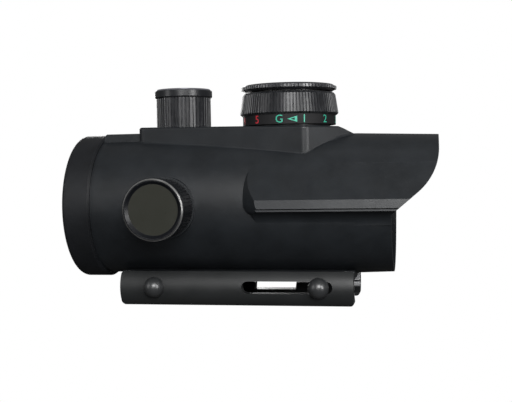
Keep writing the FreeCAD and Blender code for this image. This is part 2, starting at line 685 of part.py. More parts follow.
def battery_cap():
    """Toothed lid, bevelled above and below, with a coin slot and a hollow threaded plug."""
    low = LID_TOP - 0.45
    root = LID_BOTTOM + LID_UNDERCUT
    lid = fluted(LID_R, 0.3, LID_TEETH, root, low)
    under = turned([(0, LID_BOTTOM), (LID_R - 1.1, LID_BOTTOM), (LID_R - 0.35, root), (0, root)])
    bevel = turned([(0, low), (LID_R - 0.3, low), (LID_R - 0.9, LID_TOP), (0, LID_TOP)])
    plug = rod(CELL_R, PLUG_BOTTOM, LID_BOTTOM).cut(rod(CELL_R - 1.0, 0, LID_BOTTOM - 0.4))
    body = lid.fuse([bevel, under, plug]).removeSplitter()
    slot = block(-8.0, 8.0, -0.9, 0.9, LID_TOP - 0.9, LID_TOP + 1)
    return at_dial(body.cut(slot))


def battery_cap_oring():
    return at_dial(torus(10.45, 0.3, (HUB_TOP + LID_BOTTOM) / 2))


def coin_cell():
    """Cell with its smaller negative face down."""
    top = CELL_Z + CELL_H
    profile = [(0, CELL_Z), (9.0, CELL_Z), (9.0, CELL_Z + 0.4), (CELL_R, CELL_Z + 0.6)]
    profile += [(CELL_R, top), (0, top)]
    return at_dial(turned(profile))


def battery_spring():
    """Bent contact leaf between the floor and the cell."""
    low = HUB_FLOOR
    high = CELL_Z
    foot = side_prism([(-5.5, low), (-1.5, low), (-1.5, low + 0.2), (-5.5, low + 0.2)], LEAF_HALF)
    bend = [(-1.7, low), (-1.5, low), (4.5, high - 0.2), (6.0, high - 0.45), (6.0, high - 0.25), (4.5, high)]
    arm = side_prism(bend, LEAF_HALF)
    return at_dial(foot.fuse(arm).removeSplitter())


def contact_board():
    """Round switch board with three lifted contacts."""
    face = BOARD_PIT + 1.2
    body = rod(BOARD_R, BOARD_PIT + 0.2, face)
    for degrees in (0, 120, 240):
        angle = math.radians(degrees)
        x = 5.0 * math.cos(angle)
        y = 5.0 * math.sin(angle)
        body = body.fuse(block(x - 0.6, x + 0.6, y - 0.6, y + 0.6, face - 0.1, face + 0.7))
    return at_dial(body.removeSplitter())


def detent_ball():
    return Part.makeSphere(CLICK_BALL_R, Vector(DIAL_X - CLICK_R, 0, BAND_BOTTOM + 0.05))


def detent_spring():
    """Small coil spring under the ball."""
    helix = Part.makeHelix(0.5, 2.0, 0.34)
    start = Vector(0.34, 0, 0)
    circle = Part.makeCircle(0.1, start, Vector(0, 1, 0.2))
    spring = Part.Wire(helix.Edges).makePipeShell([Part.Wire([circle])], True, True)
    spring.translate(Vector(DIAL_X - CLICK_R, 0, BOARD_PIT + 0.15))
    return spring


# ---- Rail clamp ---------------------------------------------------------------------------
def jaw_profile():
    """Near jaw in cross section: bulged outside, 45 degree notch for the rail edge inside."""
    notch = RAIL_HALF - SEAT_HALF
    lip = SEAT_HALF - 2.6

    def point(y, z):
        return Vector(JAW_REAR, y, z)

    outer_top = point(-SEAT_HALF - 0.9, JAW_TOP)
    outer_low = point(-SEAT_HALF - 0.6, JAW_BOTTOM)
    bulge = Part.Arc(outer_top, point(-SEAT_HALF - 2.6, BOLT_Z), outer_low).toShape()
    inner = [outer_low, point(-lip, JAW_BOTTOM), point(-lip, JAW_BOTTOM + 0.9)]
    inner.append(point(-SEAT_HALF - notch - 0.05, RAIL_EDGE_Z))
    inner += [point(-SEAT_HALF, RAIL_EDGE_Z + 0.3), point(-SEAT_HALF, JAW_TOP), outer_top]
    edges = [bulge] + [Part.makeLine(a, b) for a, b in zip(inner, inner[1:])]
    return Part.Face(Part.Wire(edges))


def jaw_blank():
    body = jaw_profile().extrude(Vector(JAW_FRONT - JAW_REAR, 0, 0))
    for end, inward in ((JAW_REAR, 1), (JAW_FRONT, -1)):
        for height, away, radius in ((JAW_BOTTOM, 1, JAW_LOW_R), (JAW_TOP, -1, JAW_HIGH_R)):
            x = end + inward * radius
            z = height + away * radius
            corner = block(min(end, x), max(end, x), -FAR, 0, min(height, z), max(height, z))
            body = body.cut(corner.cut(rod_y(radius, -FAR, 0, x, z)))
    return body


def slot_cutter(rear, front, height, y0, y1):
    """Round ended slot through a jaw."""
    half = height / 2
    body = block(rear + half, front - half, y0, y1, BOLT_Z - half, BOLT_Z + half)
    return body.fuse([rod_y(half, y0, y1, rear + half, BOLT_Z), rod_y(half, y0, y1, front - half, BOLT_Z)])


def near_jaw():
    """Fixed jaw with the long adjusting slot."""
    body = jaw_blank().cut(slot_cutter(SLOT_REAR, SLOT_FRONT, SLOT_HEIGHT, -FAR, 0))
    return body.cut(rod_y(BOLT_R + RUN, -FAR, 0, REAR_BOLT_X, BOLT_Z))


def far_jaw():
    """Moving jaw: same blank with the slot and a tall window behind it."""
    body = mirrored(jaw_blank()).cut(slot_cutter(FAR_SLOT_REAR, SLOT_FRONT, SLOT_HEIGHT, 0, FAR))
    body = body.cut(block(WINDOW_REAR, WINDOW_FRONT, 0, FAR, WINDOW_BOTTOM, BOLT_Z + SLOT_HEIGHT / 2))
    return body.cut(rod_y(BOLT_R + RUN, 0, FAR, REAR_BOLT_X, BOLT_Z))


def cross_bolt(x):
    """Dome headed bolt across both jaws."""
    shank = rod_y(BOLT_R, -HEAD_Y - 0.1, BOLT_END_Y, x, BOLT_Z)
    dome = Part.makeSphere(HEAD_R, Vector(x, -HEAD_Y, BOLT_Z))
    dome = dome.common(block(x - 5, x + 5, -20, -HEAD_Y, BOLT_Z - 5, BOLT_Z + 5))
    return shank.fuse(dome).removeSplitter()


def washer(x):
    return rod_y(WASHER_R, WASHER_Y, NUT_Y - 0.15, x, BOLT_Z).cut(rod_y(BOLT_R + 0.1, 0, FAR, x, BOLT_Z))


def clamp_nut(x):
    """Knurled round nut with a coin slot."""
    drum = fluted(NUT_R, 0.25, 36, 0, NUT_H - 0.5)
    bevel = turned([(0, NUT_H - 0.5), (NUT_R - 0.25, NUT_H - 0.5), (NUT_R - 0.75, NUT_H), (0, NUT_H)])
    body = drum.fuse(bevel).removeSplitter()
    body = body.cut(rod(BOLT_R + RUN, -1, NUT_H + 1))
    body = body.cut(block(-NUT_R, NUT_R, -0.6, 0.6, NUT_H - 1.2, NUT_H + 1))
    body.Placement = Placement(Vector(x, NUT_Y, BOLT_Z), Rotation(Vector(1, 0, 0), -90))
    return body


# ---- Assembly -----------------------------------------------------------------------------
def all_parts():
    parts = {
        "main_housing": main_housing(),
        "eyepiece_ring": eyepiece_ring(),
        "rear_window": rear_window(),
        "rear_window_gasket": rear_window_gasket(),
        "window_retaining_ring": spanner_ring(WINDOW_R + RUN, RING_CLEAR_R, GLASS_FRONT, RETAINER_FRONT),
        "inner_tube": inner_tube(),
        "objective_lens": objective_lens(),
        "objective_retaining_ring": spanner_ring(LENS_R - RUN, LENS_LOCK_R, LENS_FRONT, LENS_LOCK_FRONT),
        "objective_bezel": objective_bezel(),
        "gimbal_ring": gimbal_ring(),
        "gimbal_upright_pins": gimbal_upright_pins(),
        "gimbal_level_pins": gimbal_level_pins(),
        "bias_spring": bias_spring(),
        "emitter_holder": emitter_holder(),
        "emitter_board": emitter_board(),
        "emitter_lamps": emitter_lamps(),
        "dial_base": dial_base(),
        "dial_base_screws": dial_base_screws(),
        "dial_knob": dial_knob(),
        "dial_oring": dial_oring(),
        "battery_cap": battery_cap(),
        "battery_cap_oring": battery_cap_oring(),
        "coin_cell": coin_cell(),
        "battery_spring": battery_spring(),
        "contact_board": contact_board(),
        "detent_ball": detent_ball(),
        "detent_spring": detent_spring(),
        "near_jaw": near_jaw(),
        "far_jaw": far_jaw(),
        "rear_cross_bolt": cross_bolt(REAR_BOLT_X),
        "front_cross_bolt": cross_bolt(FRONT_BOLT_X),
        "rear_washer": washer(REAR_BOLT_X),
        "front_washer": washer(FRONT_BOLT_X),
        "rear_clamp_nut": clamp_nut(REAR_BOLT_X),
        "front_clamp_nut": clamp_nut(FRONT_BOLT_X),
    }
    parts.update(turret_parts("elevation", upright, DECK_TOP - AXIS_Z))
    parts.update(turret_parts("windage", sideways, WINDAGE_FACE))
    return parts


for part_name, part_shape in all_parts().items():
    part_shape.exportStep("parts/" + part_name + ".step")
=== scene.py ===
"""Looks of the red dot finder: materials, printed dial marks, floor, camera and light."""

import json
import math

import bmesh
import bpy
from mathutils import Matrix, Vector


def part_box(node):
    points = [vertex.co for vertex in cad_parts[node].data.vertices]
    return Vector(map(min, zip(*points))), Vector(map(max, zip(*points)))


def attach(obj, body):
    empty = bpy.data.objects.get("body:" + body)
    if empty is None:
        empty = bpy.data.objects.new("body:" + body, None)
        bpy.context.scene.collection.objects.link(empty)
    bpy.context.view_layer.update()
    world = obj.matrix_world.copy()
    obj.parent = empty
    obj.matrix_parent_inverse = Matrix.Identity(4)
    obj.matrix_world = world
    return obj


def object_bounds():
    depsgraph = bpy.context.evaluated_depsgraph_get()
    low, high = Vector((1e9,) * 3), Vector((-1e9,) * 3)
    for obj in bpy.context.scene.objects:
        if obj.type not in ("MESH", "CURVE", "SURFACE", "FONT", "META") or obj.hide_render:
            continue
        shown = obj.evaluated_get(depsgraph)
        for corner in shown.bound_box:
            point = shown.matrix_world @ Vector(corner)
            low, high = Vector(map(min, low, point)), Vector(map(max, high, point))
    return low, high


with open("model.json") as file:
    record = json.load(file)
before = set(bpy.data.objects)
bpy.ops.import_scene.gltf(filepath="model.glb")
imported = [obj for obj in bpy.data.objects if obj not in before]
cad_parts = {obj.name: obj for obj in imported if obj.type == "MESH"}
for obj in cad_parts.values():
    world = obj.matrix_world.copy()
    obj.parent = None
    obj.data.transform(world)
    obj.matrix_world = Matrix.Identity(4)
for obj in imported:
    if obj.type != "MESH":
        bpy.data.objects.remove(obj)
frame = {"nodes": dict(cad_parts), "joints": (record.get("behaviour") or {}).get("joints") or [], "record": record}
CAD_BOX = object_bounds()
MM = 0.001

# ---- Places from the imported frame, and a few sizes of the part ----------------------------------
JOINTS = {joint["name"]: joint for joint in frame["joints"]}
NODES = frame["nodes"]
DIAL_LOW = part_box("dial_knob")[0]
DIAL_AXIS = Vector(JOINTS["dial_turn"]["pos_m"])
FLOOR_Z = CAD_BOX[0].z
BAND_RADIUS = 12.2 * MM                     # numbered band of the dial
BAND_MIDDLE = DIAL_LOW.z + 1.16 * MM
BAND_TOP = DIAL_LOW.z + 2.5 * MM
CAP_FACE_MM = 6.3                           # sunk end face of the adjustment caps
CAP_BEVEL_MM = (7.14, 7.56)                 # bright bevel round it, from radius to radius
JAW_END = (26.5 * MM, 28.5 * MM)            # where the painted highlight begins, along the jaws
JAW_INNER = (10.50 * MM, 10.44 * MM)        # the jaws' inner faces, across
JAW_HEIGHT = (-4.2 * MM, -3.4 * MM)         # the painted highlight's lower end

# ---- Camera, at the viewing angle of the catalogue picture -------------------------------------
CAMERA_AT = Vector((48.9, -235.9, 29.2)) * MM
CAMERA_YAW = math.radians(10.82)
CAMERA_PITCH = math.radians(2.25)
CAMERA_ROLL = math.radians(-1.07)
CAMERA_LENS = 63.5

# ---- Light -------------------------------------------------------------------------------------
WORLD_FILL = 0.18            # how strongly the white surroundings light the object
FLOOR_BOUNCE = 0.06
LIT_PLACE = (0.004, 0.0, 0.02)
LIGHTS = (                   # name, place, width and height in metres, watts
    ("key_box", (0.21, -0.72, 0.38), 0.44, 0.34, 6.4),
    ("front_strip", (0.035, -0.80, 0.15), 0.16, 0.34, 0.8),
    ("left_box", (-0.62, -0.50, 0.22), 0.2, 0.5, 1.0),
    ("right_box", (0.60, -0.46, 0.16), 0.2, 0.4, 3.4),
    ("back_box", (-0.30, 0.70, 0.12), 0.4, 0.3, 2.0),
    ("top_box", (0.00, 0.02, 0.80), 0.12, 0.12, 0.10),
)

# ---- Dial scale --------------------------------------------------------------------------------
MARK_HEIGHT = 1.95 * MM
MARK_LIFT = 0.02 * MM
MARK_STEP = 30.0
POINTER_STEP = 15.5          # degrees from a letter to its pointer
FIRST_MARK = 266.6           # degrees round the dial, counted from +X
RED_MARKS = ["R", "1", "2", "3", "4", "5"]
GREEN_MARKS = ["G", "1", "2", "3", "4", "5"]


# ---- Colours -----------------------------------------------------------------------------------
def rgb(red, green, blue):
    return (red, green, blue, 1.0)


def times(colour, factor):
    """The same colour, lighter or darker."""
    return tuple(factor * part for part in colour[:3]) + (1.0,)


WORN_EDGE = rgb(0.15, 0.15, 0.16)
BODY_BLACK = rgb(0.0098, 0.0114, 0.0133)
CAP_BLACK = rgb(0.0110, 0.0118, 0.0135)
# painted shade: the hub under the dial kept darker than the caps, as if shadowed by the dial
HUB_SHADE_BLACK = rgb(0.0070, 0.0075, 0.0090)
BAND_BLACK = rgb(0.0035, 0.0035, 0.0042)
CAP_FACE_GREY = rgb(0.0225, 0.0230, 0.0185)
# near white for the painted highlight on the jaws' inner faces near their ends
JAW_END_HIGHLIGHT = rgb(0.85, 0.86, 0.88)


# ---- Node helpers ------------------------------------------------------------------------------
class Shader:
    """A node material under construction, with one Principled shader."""

    def __init__(self, name):
        self.material = bpy.data.materials.new(name)
        self.material.use_nodes = True
        self.nodes = self.material.node_tree.nodes
        self.links = self.material.node_tree.links
        self.nodes.clear()
        self.output = self.nodes.new("ShaderNodeOutputMaterial")
        self.main = self.nodes.new("ShaderNodeBsdfPrincipled")
        self.links.new(self.main.outputs[0], self.output.inputs["Surface"])
        self.place = self.nodes.new("ShaderNodeTexCoord").outputs["Object"]
        self.height = None

    def set(self, **values):
        for key, value in values.items():
            self.main.inputs[key.replace("_", " ")].default_value = value

    def stretched(self, scale):
        mapping = self.nodes.new("ShaderNodeMapping")
        mapping.inputs["Scale"].default_value = scale
        self.links.new(self.place, mapping.inputs["Vector"])
        return mapping.outputs["Vector"]

    def noise(self, size_mm, detail=3.0, roughness=0.55, stretch=None):
        """Noise whose grains are about size_mm across."""
        node = self.nodes.new("ShaderNodeTexNoise")
        node.inputs["Scale"].default_value = 1.0 / (size_mm * MM)
        node.inputs["Detail"].default_value = detail
        node.inputs["Roughness"].default_value = roughness
        self.links.new(self.stretched(stretch) if stretch else self.place, node.inputs["Vector"])
        return node.outputs["Fac"]

    def cells(self, size_mm, randomness=1.0):
        node = self.nodes.new("ShaderNodeTexVoronoi")
        node.inputs["Scale"].default_value = 1.0 / (size_mm * MM)
        node.inputs["Randomness"].default_value = randomness
        self.links.new(self.place, node.inputs["Vector"])
        return node.outputs["Distance"]

    def ranged(self, value, low, high, to_low, to_high):
        node = self.nodes.new("ShaderNodeMapRange")
        node.inputs["From Min"].default_value = low
        node.inputs["From Max"].default_value = high
        node.inputs["To Min"].default_value = to_low
        node.inputs["To Max"].default_value = to_high
        self.links.new(value, node.inputs["Value"])
        return node.outputs["Result"]

    def math(self, operation, first, second):
        node = self.nodes.new("ShaderNodeMath")
        node.operation = operation
        for socket, value in zip(node.inputs, (first, second)):
            if isinstance(value, (int, float)):
                socket.default_value = value
            else:
                self.links.new(value, socket)
        return node.outputs[0]

    def mixed(self, factor, first, second):
        node = self.nodes.new("ShaderNodeMix")
        node.data_type = "RGBA"
        self.links.new(factor, node.inputs["Factor"])
        for socket, value in ((node.inputs["A"], first), (node.inputs["B"], second)):
            if isinstance(value, tuple):
                socket.default_value = value
            else:
                self.links.new(value, socket)
        return node.outputs["Result"]

    def bump(self, height, strength, depth_mm):
        node = self.nodes.new("ShaderNodeBump")
        node.inputs["Strength"].default_value = strength
        node.inputs["Distance"].default_value = depth_mm * MM
        self.links.new(height, node.inputs["Height"])
        if self.height is not None:
            self.links.new(self.height, node.inputs["Normal"])
        self.height = node.outputs["Normal"]
        self.links.new(self.height, self.main.inputs["Normal"])

    def colour(self, value):
        self.links.new(value, self.main.inputs["Base Color"])

    def rough(self, value):
        self.links.new(value, self.main.inputs["Roughness"])

    def edge_mask(self, radius_mm, low=0.02, high=0.12):
        """About 1 along sharp edges, broken up by noise."""
        bevel = self.nodes.new("ShaderNodeBevel")
        bevel.samples = 4
        bevel.inputs["Radius"].default_value = radius_mm * MM
        geometry = self.nodes.new("ShaderNodeNewGeometry")
        dot = self.nodes.new("ShaderNodeVectorMath")
        dot.operation = "DOT_PRODUCT"
        self.links.new(bevel.outputs["Normal"], dot.inputs[0])
        self.links.new(geometry.outputs["True Normal"], dot.inputs[1])
        turned = self.math("SUBTRACT", 1.0, dot.outputs["Value"])
        edge = self.ranged(turned, low, high, 0.0, 1.0)
        broken = self.ranged(self.noise(1.3, 4.0, 0.7), 0.42, 0.62, 0.0, 1.0)
        return self.math("MULTIPLY", edge, broken)

    def axes(self):
        """The object coordinates one by one."""
        node = self.nodes.new("ShaderNodeSeparateXYZ")
        self.links.new(self.place, node.inputs[0])
        return node.outputs[0], node.outputs[1], node.outputs[2]

    def vector(self, operation, first, second=None, output="Vector"):
        node = self.nodes.new("ShaderNodeVectorMath")
        node.operation = operation
        for socket, value in zip(node.inputs, (first, second)):
            if isinstance(value, (tuple, Vector)):
                socket.default_value = value
            elif value is not None:
                self.links.new(value, socket)
        return node.outputs[output]

    def lean(self, along):
        """The cosine of the angle between the face and an axis."""
        geometry = self.nodes.new("ShaderNodeNewGeometry")
        return self.vector("DOT_PRODUCT", geometry.outputs["True Normal"], along, "Value")

    def reach(self, centre, along):
        """The distance from an axis that goes through the centre."""
        across = tuple(1.0 - abs(part) for part in along)
        flat = self.vector("MULTIPLY", self.vector("SUBTRACT", self.place, centre), across)
        return self.vector("LENGTH", flat, output="Value")

    def bevel_mask(self, centre, along, inner_mm, outer_mm, low, high):
        """1 on faces that lean between these cosines from the axis, between two radii."""
        lean = self.lean(along)
        above = self.math("GREATER_THAN", lean, low)
        leaning = self.math("MULTIPLY", above, self.math("LESS_THAN", lean, high))
        reach = self.reach(centre, along)
        past = self.ranged(reach, inner_mm * MM, (inner_mm + 0.08) * MM, 0.0, 1.0)
        short = self.ranged(reach, (outer_mm - 0.12) * MM, outer_mm * MM, 1.0, 0.0)
        return self.math("MULTIPLY", leaning, self.math("MULTIPLY", past, short))

    def disc_mask(self, centre, along, outer_mm, low):
        """1 on faces that look along the axis, inside a radius."""
        inside = self.math("LESS_THAN", self.reach(centre, along), outer_mm * MM)
        return self.math("MULTIPLY", inside, self.math("GREATER_THAN", self.lean(along), low))


# ---- Materials ---------------------------------------------------------------------------------
def coated_metal(name, colour, rough, grain, wear=0.0, specular=0.35, dull_top=0.0):
    """Black coat: fine grain (size and depth in mm), uneven sheen, cloudy colour and rubbed edges."""
    shader = Shader(name)
    shader.set(Metallic=0.0, IOR=1.5, Specular_IOR_Level=specular)
    cloud = shader.noise(9.0, 4.0, 0.6)
    cloudy = shader.ranged(cloud, 0.35, 0.65, 0.0, 1.0)
    tone = shader.mixed(cloudy, times(colour, 0.8), times(colour, 1.2))
    speck = shader.ranged(shader.noise(0.45, 2.0), 0.66, 0.74, 0.0, 0.5)
    tone = shader.mixed(speck, tone, times(colour, 1.9))
    if wear:
        rubbed = shader.math("MULTIPLY", shader.edge_mask(0.22), wear)
        tone = shader.mixed(rubbed, tone, WORN_EDGE)
    shader.colour(tone)
    sheen = shader.ranged(shader.noise(5.0, 5.0, 0.65), 0.3, 0.7, rough - 0.05, rough + 0.06)
    if dull_top:
        upward = shader.math("GREATER_THAN", shader.lean((0, 0, 1)), 0.98)
        sheen = shader.math("ADD", sheen, shader.math("MULTIPLY", upward, dull_top))
    shader.rough(sheen)
    shader.bump(shader.noise(grain[0], 3.0, 0.6), 0.5, grain[1])
    shader.bump(shader.noise(6.0, 2.0), 0.2, 0.03)
    return shader.material


def turned_metal(name, colour, rough, axis=0):
    """Machined metal with fine turning lines across one axis."""
    shader = Shader(name)
    shader.set(Metallic=1.0)
    stretch = [0.04, 0.04, 0.04]
    stretch[axis] = 1.0
    lines = shader.noise(0.09, 3.0, 0.7, tuple(stretch))
    shader.colour(shader.mixed(shader.noise(3.0, 4.0, 0.6), times(colour, 0.75), colour))
    shader.rough(shader.ranged(lines, 0.3, 0.7, rough - 0.08, rough + 0.12))
    shader.bump(lines, 0.35, 0.012)
    return shader.material


def flat_black(name):
    """Light trap black of the inside of the tube."""
    shader = Shader(name)
    tone = shader.mixed(shader.noise(2.5, 4.0, 0.6), rgb(0.006, 0.006, 0.007), rgb(0.013, 0.013, 0.014))
    shader.colour(tone)
    shader.rough(shader.ranged(shader.noise(1.2, 4.0), 0.3, 0.7, 0.7, 0.9))
    shader.bump(shader.noise(0.15, 3.0), 0.5, 0.02)
    return shader.material


def rubber(name):
    shader = Shader(name)
    shader.colour(shader.mixed(shader.noise(1.0, 4.0), rgb(0.010, 0.010, 0.010), rgb(0.022, 0.021, 0.020)))
    shader.rough(shader.ranged(shader.noise(0.6, 3.0), 0.3, 0.7, 0.55, 0.75))
    shader.bump(shader.noise(0.08, 3.0), 0.5, 0.01)
    return shader.material


def coated_glass(name, tint, film_nm):
    """Clear glass with a thin coating, a few dust specks and faint wipe marks."""
    shader = Shader(name)
    shader.set(IOR=1.52, Transmission_Weight=1.0, Thin_Film_Thickness=film_nm, Thin_Film_IOR=1.38)
    dust = shader.ranged(shader.noise(0.35, 2.0), 0.70, 0.78, 0.0, 0.35)
    wipe = shader.ranged(shader.noise(2.4, 3.0, 0.6, (1.0, 0.25, 1.0)), 0.45, 0.75, 0.0, 0.05)
    shader.rough(shader.math("ADD", dust, wipe))
    smear = shader.ranged(shader.noise(6.0, 3.0), 0.3, 0.7, 0.0, 1.0)
    shader.colour(shader.mixed(smear, tint, times(tint, 0.94)))
    return shader.material


def circuit_board(name):
    """Green solder mask with faint copper tracks."""
    shader = Shader(name)
    track = shader.ranged(shader.noise(0.8, 0.0, 0.5, (1.0, 0.15, 1.0)), 0.49, 0.51, 0.0, 1.0)
    shader.colour(shader.mixed(track, rgb(0.010, 0.075, 0.030), rgb(0.020, 0.130, 0.055)))
    shader.rough(shader.ranged(shader.noise(1.5, 3.0), 0.3, 0.7, 0.28, 0.42))
    shader.bump(track, 0.4, 0.02)
    return shader.material


def clear_resin(name):
    shader = Shader(name)
    shader.set(IOR=1.54, Transmission_Weight=0.6)
    shader.colour(shader.mixed(shader.noise(0.4, 3.0), rgb(0.85, 0.78, 0.50), rgb(0.95, 0.92, 0.80)))
    shader.rough(shader.ranged(shader.noise(0.3, 2.0), 0.3, 0.7, 0.08, 0.2))
    shader.bump(shader.noise(0.5, 2.0), 0.2, 0.01)
    return shader.material


def moulded_plastic(name, colour):
    shader = Shader(name)
    shader.colour(shader.mixed(shader.noise(1.5, 4.0), times(colour, 0.8), colour))
    shader.rough(shader.ranged(shader.noise(0.9, 4.0), 0.3, 0.7, 0.42, 0.6))
    shader.bump(shader.cells(0.12), 0.4, 0.012)
    return shader.material


def enamel(name, colour, dark):
    """Printed mark: slightly uneven paint that lets a little of the black through."""
    shader = Shader(name)
    patchy = shader.ranged(shader.noise(0.35, 3.0, 0.7), 0.52, 0.72, 0.0, 0.75)
    shader.colour(shader.mixed(patchy, colour, dark))
    shader.rough(shader.ranged(shader.noise(0.4, 2.0), 0.3, 0.7, 0.38, 0.55))
    shader.bump(shader.noise(0.15, 3.0), 0.4, 0.01)
    return shader.material


def bevelled_cap(name, colour, centre, along, specular, bright):
    """Black anodised cap whose end bevel was cut bright after colouring, with a dull sunk face."""
    shader = Shader(name)
    shader.set(IOR=1.5, Specular_IOR_Level=specular)
    tone = shader.mixed(shader.noise(4.0, 3.0), times(colour, 0.8), colour)
    rubbed = shader.math("MULTIPLY", shader.edge_mask(0.2), 0.5)
    tone = shader.mixed(rubbed, tone, WORN_EDGE)
    bevel = shader.bevel_mask(centre, along, *CAP_BEVEL_MM, 0.5, 0.93)
    shader.links.new(bevel, shader.main.inputs["Metallic"])
    tone = shader.mixed(shader.disc_mask(centre, along, CAP_FACE_MM, 0.99), tone, CAP_FACE_GREY)
    shader.colour(shader.mixed(bevel, tone, bright))
    shader.rough(shader.ranged(shader.noise(3.0, 4.0), 0.3, 0.7, 0.27, 0.36))
    shader.bump(shader.noise(0.09, 3.0, 0.6), 0.5, 0.006)
    return shader.material


def banded_knob(name, colour):
    """Black anodised knob with a duller, darker band for the marks."""
    shader = Shader(name)
    shader.set(IOR=1.5, Specular_IOR_Level=0.36)
    tone = shader.mixed(shader.noise(4.0, 3.0), times(colour, 0.8), colour)
    rubbed = shader.math("MULTIPLY", shader.edge_mask(0.2), 0.4)
    tone = shader.mixed(rubbed, tone, WORN_EDGE)
    band = shader.ranged(shader.axes()[2], BAND_TOP, BAND_TOP + 0.1 * MM, 1.0, 0.0)
    shader.colour(shader.mixed(band, tone, BAND_BLACK))
    uneven = shader.ranged(shader.noise(3.0, 4.0), 0.3, 0.7, 0.27, 0.37)
    dulled = shader.math("MULTIPLY", band, 0.38)
    shader.rough(shader.math("ADD", uneven, dulled))
    shader.bump(shader.noise(0.09, 3.0, 0.6), 0.5, 0.006)
    return shader.material


def jaw_coat(name, colour):
    """Clamp coat, with a near-white painted highlight, broken up by noise, at both ends of the inner faces, where
    light catches them.
    """
    shader = Shader(name)
    shader.set(IOR=1.5, Specular_IOR_Level=0.4)
    tone = shader.mixed(shader.noise(8.0, 4.0, 0.6), times(colour, 0.8), colour)
    rubbed = shader.math("MULTIPLY", shader.edge_mask(0.22), 0.25)
    tone = shader.mixed(rubbed, tone, WORN_EDGE)
    along, across, height = shader.axes()
    near_end = shader.ranged(shader.math("ABSOLUTE", along, 0.0), *JAW_END, 0.0, 1.0)
    inner = shader.ranged(shader.math("ABSOLUTE", across, 0.0), *JAW_INNER, 0.0, 1.0)
    above = shader.ranged(height, *JAW_HEIGHT, 0.0, 1.0)
    broken_up = shader.ranged(shader.noise(1.6, 4.0, 0.7), 0.25, 0.4, 0.0, 1.0)
    # painted highlight: the inner faces near both ends turn near white, standing in for light caught there
    painted_glint = shader.math("MULTIPLY", near_end, inner)
    painted_glint = shader.math("MULTIPLY", painted_glint, shader.math("MULTIPLY", above, broken_up))
    shader.colour(shader.mixed(painted_glint, tone, JAW_END_HIGHLIGHT))
    shader.rough(shader.ranged(shader.noise(5.0, 5.0, 0.65), 0.3, 0.7, 0.36, 0.48))
    shader.bump(shader.noise(0.14, 3.0, 0.6), 0.5, 0.012)
    return shader.material


def slot_materials():
    """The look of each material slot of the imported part."""
    ring = rgb(0.0068, 0.0074, 0.0087)
    steel = rgb(0.021, 0.022, 0.023)
    return {
        "cast_black": coated_metal("cast_black_coat", BODY_BLACK, 0.41, (0.16, 0.016), 0.12),
        "ring_black": coated_metal("ring_black_anodised", ring, 0.46, (0.10, 0.008), 0.1, 0.27),
        "cap_black": coated_metal("cap_black_anodised", CAP_BLACK, 0.34, (0.09, 0.006), 0.45, 0.55),
        "clamp_black": jaw_coat("clamp_black_coat", rgb(0.0145, 0.0155, 0.0160)),
        "steel_black": coated_metal("black_oxide_steel", steel, 0.32, (0.12, 0.004), 0.35, 0.7),
        "steel": turned_metal("bright_steel", rgb(0.60, 0.60, 0.58), 0.28),
        "brass": turned_metal("turned_brass", rgb(0.60, 0.43, 0.17), 0.30, axis=2),
        "inner_black": flat_black("light_trap_black"),
        "glass_clear": coated_glass("window_glass", rgb(0.90, 0.97, 0.95), 420.0),
        "glass_red": coated_glass("objective_glass", rgb(0.95, 0.62, 0.52), 560.0),
        "rubber": rubber("black_rubber"),
        "plastic": moulded_plastic("black_moulding", rgb(0.022, 0.022, 0.024)),
        "board": circuit_board("green_board"),
        "lamp": clear_resin("lamp_resin"),
    }


def elevation_cap_look():
    centre = Vector(JOINTS["elevation_cap_turn"]["pos_m"])
    bright = rgb(0.50, 0.50, 0.56)
    return bevelled_cap("elevation_cap_black", CAP_BLACK, centre, (0, 0, 1), 0.44, bright)


def windage_cap_look():
    centre = Vector(JOINTS["windage_cap_turn"]["pos_m"])
    # painted shade: a much darker black than the elevation cap's, so the knurled side reads as shadowed
    black = rgb(0.0042, 0.0048, 0.0062)
    bright = rgb(0.46, 0.46, 0.45)
    return bevelled_cap("windage_cap_shaded_black", black, centre, (0, -1, 0), 0.20, bright)


def battery_cap_look():
    black = rgb(0.016, 0.017, 0.020)
    return coated_metal("battery_cap_black", black, 0.30, (0.09, 0.006), 0.55, 0.9, dull_top=0.42)


def node_materials():
    """Pieces that look different from the rest of their slot."""
    return {
        "coin_cell": turned_metal("cell_nickel", rgb(0.66, 0.65, 0.62), 0.28, axis=2),
        "elevation_cap": elevation_cap_look(),
        "windage_cap": windage_cap_look(),
        "dial_knob": banded_knob("dial_knob_black", CAP_BLACK),
        # painted shade: the hub under the dial is darkened to look shadowed
        "dial_base": coated_metal("hub_black_anodised_painted_shade", HUB_SHADE_BLACK, 0.45, (0.10, 0.006), 0.1, 0.25),
        "battery_cap": battery_cap_look(),
    }


def assign_materials():
    by_slot = slot_materials()
    by_node = node_materials()
    slots = {part["node"]: part["material_slot"] for part in frame["record"]["subparts"]}
    for node, piece in NODES.items():
        piece.data.materials.clear()
        piece.data.materials.append(by_node.get(node) or by_slot[slots[node]])


# ---- Printed marks -----------------------------------------------------------------------------
def text_mesh(name, text, height):
    """Flat letter outlines in the XY plane, centred, as a mesh with cut faces."""
    curve = bpy.data.curves.new(name, "FONT")
    curve.body = text
    curve.align_x = "CENTER"
    curve.align_y = "CENTER"
    curve.resolution_u = 8
    curve.size = height / 0.69
    holder = bpy.data.objects.new(name, curve)
    bpy.context.collection.objects.link(holder)
    bpy.context.view_layer.update()
    mesh = bpy.data.meshes.new_from_object(holder)
    bpy.data.objects.remove(holder)
    return mesh


def triangle_mesh(name, size):
    """Hollow triangle that points to the left."""
    mesh = bpy.data.meshes.new(name)
    made = bmesh.new()
    rings = []
    corners = [(-0.95, 0.0), (0.75, 0.52), (0.75, -0.52)]
    for scale in (1.0, 0.42):
        places = [((x * scale + 0.1) * size, y * scale * size, 0) for x, y in corners]
        rings.append([made.verts.new(place) for place in places])
    for index in range(3):
        after = (index + 1) % 3
        made.faces.new((rings[0][index], rings[0][after], rings[1][after], rings[1][index]))
    made.to_mesh(mesh)
    made.free()
    return mesh


